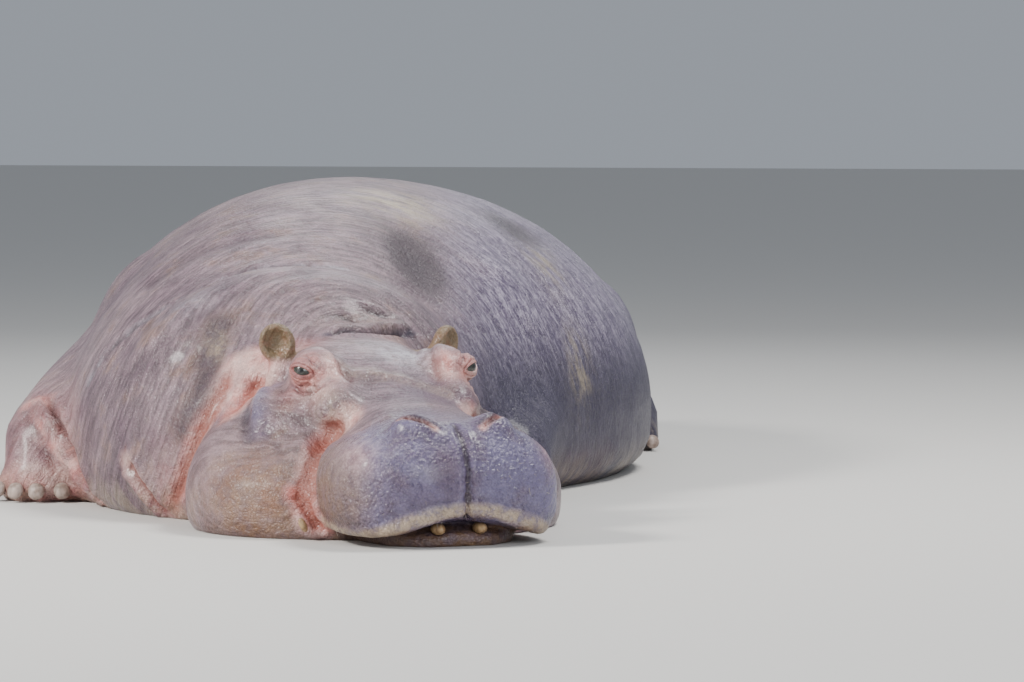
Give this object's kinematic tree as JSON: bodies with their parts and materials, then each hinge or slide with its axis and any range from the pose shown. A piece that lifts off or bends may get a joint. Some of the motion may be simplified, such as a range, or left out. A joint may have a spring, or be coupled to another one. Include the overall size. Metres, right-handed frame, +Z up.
{
  "type": "hippopotamus",
  "caption": "Life-size hippopotamus lying on its belly, head turned to its left and chin on the floor, legs tucked beside a broad smooth body.",
  "frame": {"origin": "on the floor, below the middle of the bounding box", "axes": "+Y along the trunk towards the rump, so the animal lies facing -Y; +X towards its left side; +Z up"},
  "size_m": [1.448, 3.2732, 0.7144],
  "materials": {
    "skin": "damp grey-mauve hide with fine wrinkles",
    "pink_skin": "thin pink skin with fine folds",
    "ear": "olive-brown skin with short bristles",
    "eye": "wet dark brown eyeball",
    "nail": "worn brown horn",
    "tooth": "stained yellow ivory"
  },
  "bodies": {
    "root": {"head": "skin", "jaw": "pink_skin", "neck": "skin", "trunk": "skin", "tail": "skin", "ear_left": "ear", "eye_left": "eye", "tusk_left": "tooth", "front_tooth_left": "tooth", "foreleg_left": "pink_skin", "forefoot_left": "pink_skin", "hindleg_left": "skin", "hindfoot_left": "pink_skin", "ear_right": "ear", "eye_right": "eye", "tusk_right": "tooth", "front_tooth_right": "tooth", "foreleg_right": "pink_skin", "forefoot_right": "pink_skin", "hindleg_right": "skin", "hindfoot_right": "pink_skin", "nail_fore_left_1": "nail", "nail_fore_left_2": "nail", "nail_fore_left_3": "nail", "nail_fore_left_4": "nail", "nail_fore_right_1": "nail", "nail_fore_right_2": "nail", "nail_fore_right_3": "nail", "nail_fore_right_4": "nail", "nail_hind_left_1": "nail", "nail_hind_left_2": "nail", "nail_hind_left_3": "nail", "nail_hind_left_4": "nail", "nail_hind_right_1": "nail", "nail_hind_right_2": "nail", "nail_hind_right_3": "nail", "nail_hind_right_4": "nail"}
  },
  "joints": []
}
